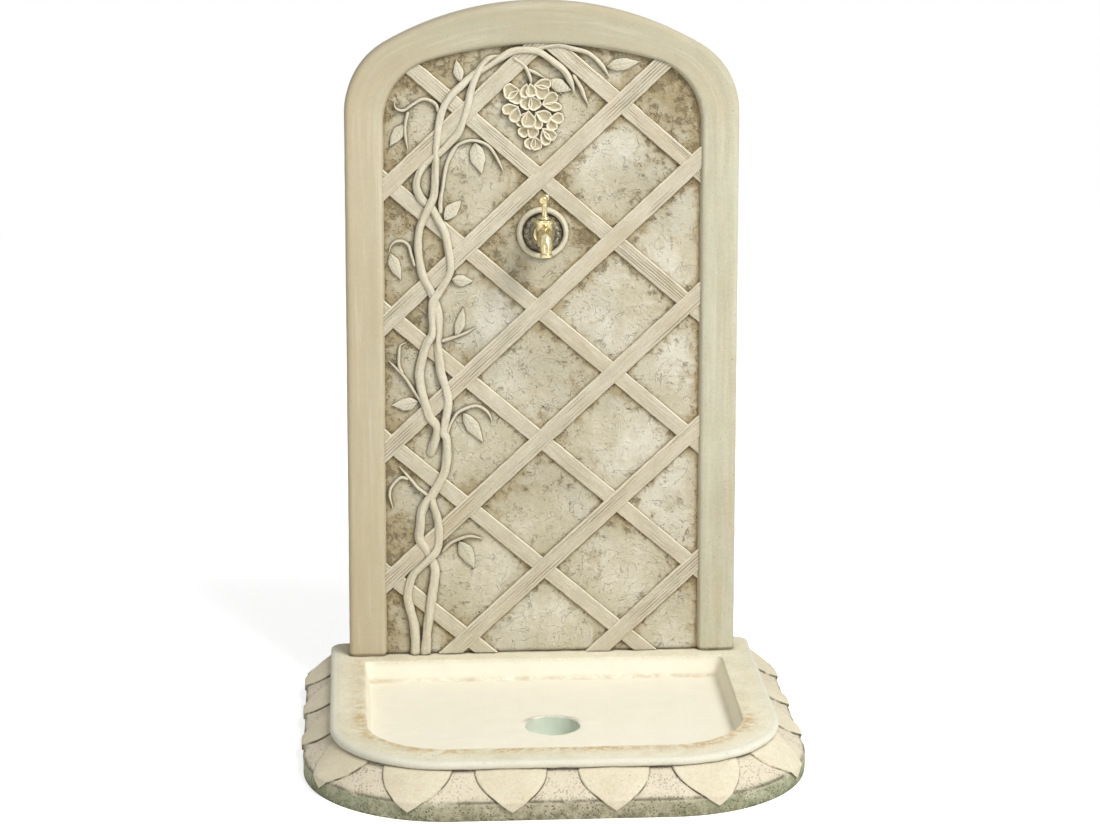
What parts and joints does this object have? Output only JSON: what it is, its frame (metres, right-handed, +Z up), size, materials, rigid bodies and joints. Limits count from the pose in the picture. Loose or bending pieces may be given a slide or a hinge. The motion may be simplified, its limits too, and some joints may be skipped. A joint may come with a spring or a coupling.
{
  "type": "garden wall fountain",
  "caption": "Reconstituted-stone garden wall fountain: shallow trough with a leaf frieze, tall arched panel with trellis and flowering vine in relief, and a small brass plug cock with a T key.",
  "frame": {"origin": "on the ground, in the middle of the overall width and depth", "axes": "+X to the right seen from the front, +Y back towards the wall, +Z up"},
  "size_m": [0.6612, 0.511, 0.946],
  "materials": {
    "cast_stone": "matte, weathered",
    "tap_brass": "aged, polished on the edges",
    "dark_brass": "dark patina",
    "steel": "plain",
    "fibre": "matte"
  },
  "bodies": {
    "root": {"basin": "cast_stone", "frieze_leaves": "cast_stone", "back_panel": "cast_stone", "rising_laths": "cast_stone", "falling_laths": "cast_stone", "vine_stems": "cast_stone", "vine_tendrils": "cast_stone", "vine_leaves": "cast_stone", "flower_cluster": "cast_stone", "tap_ring": "cast_stone", "alignment_dowels": "steel", "anchor_sockets": "steel", "inlet_tube": "tap_brass", "wall_rosette": "dark_brass", "rosette_washer": "fibre", "tap_body": "tap_brass"},
    "key": {"key_plug": "tap_brass", "key_bar": "tap_brass", "plug_washer": "fibre", "plug_nut": "tap_brass"}
  },
  "joints": [
    {"name": "key_turn", "type": "hinge", "parent": "root", "child": "key", "pos_m": [0, 0.1595, 0.643], "axis": [0, 0, 1], "range_deg": [0, 90]}
  ]
}
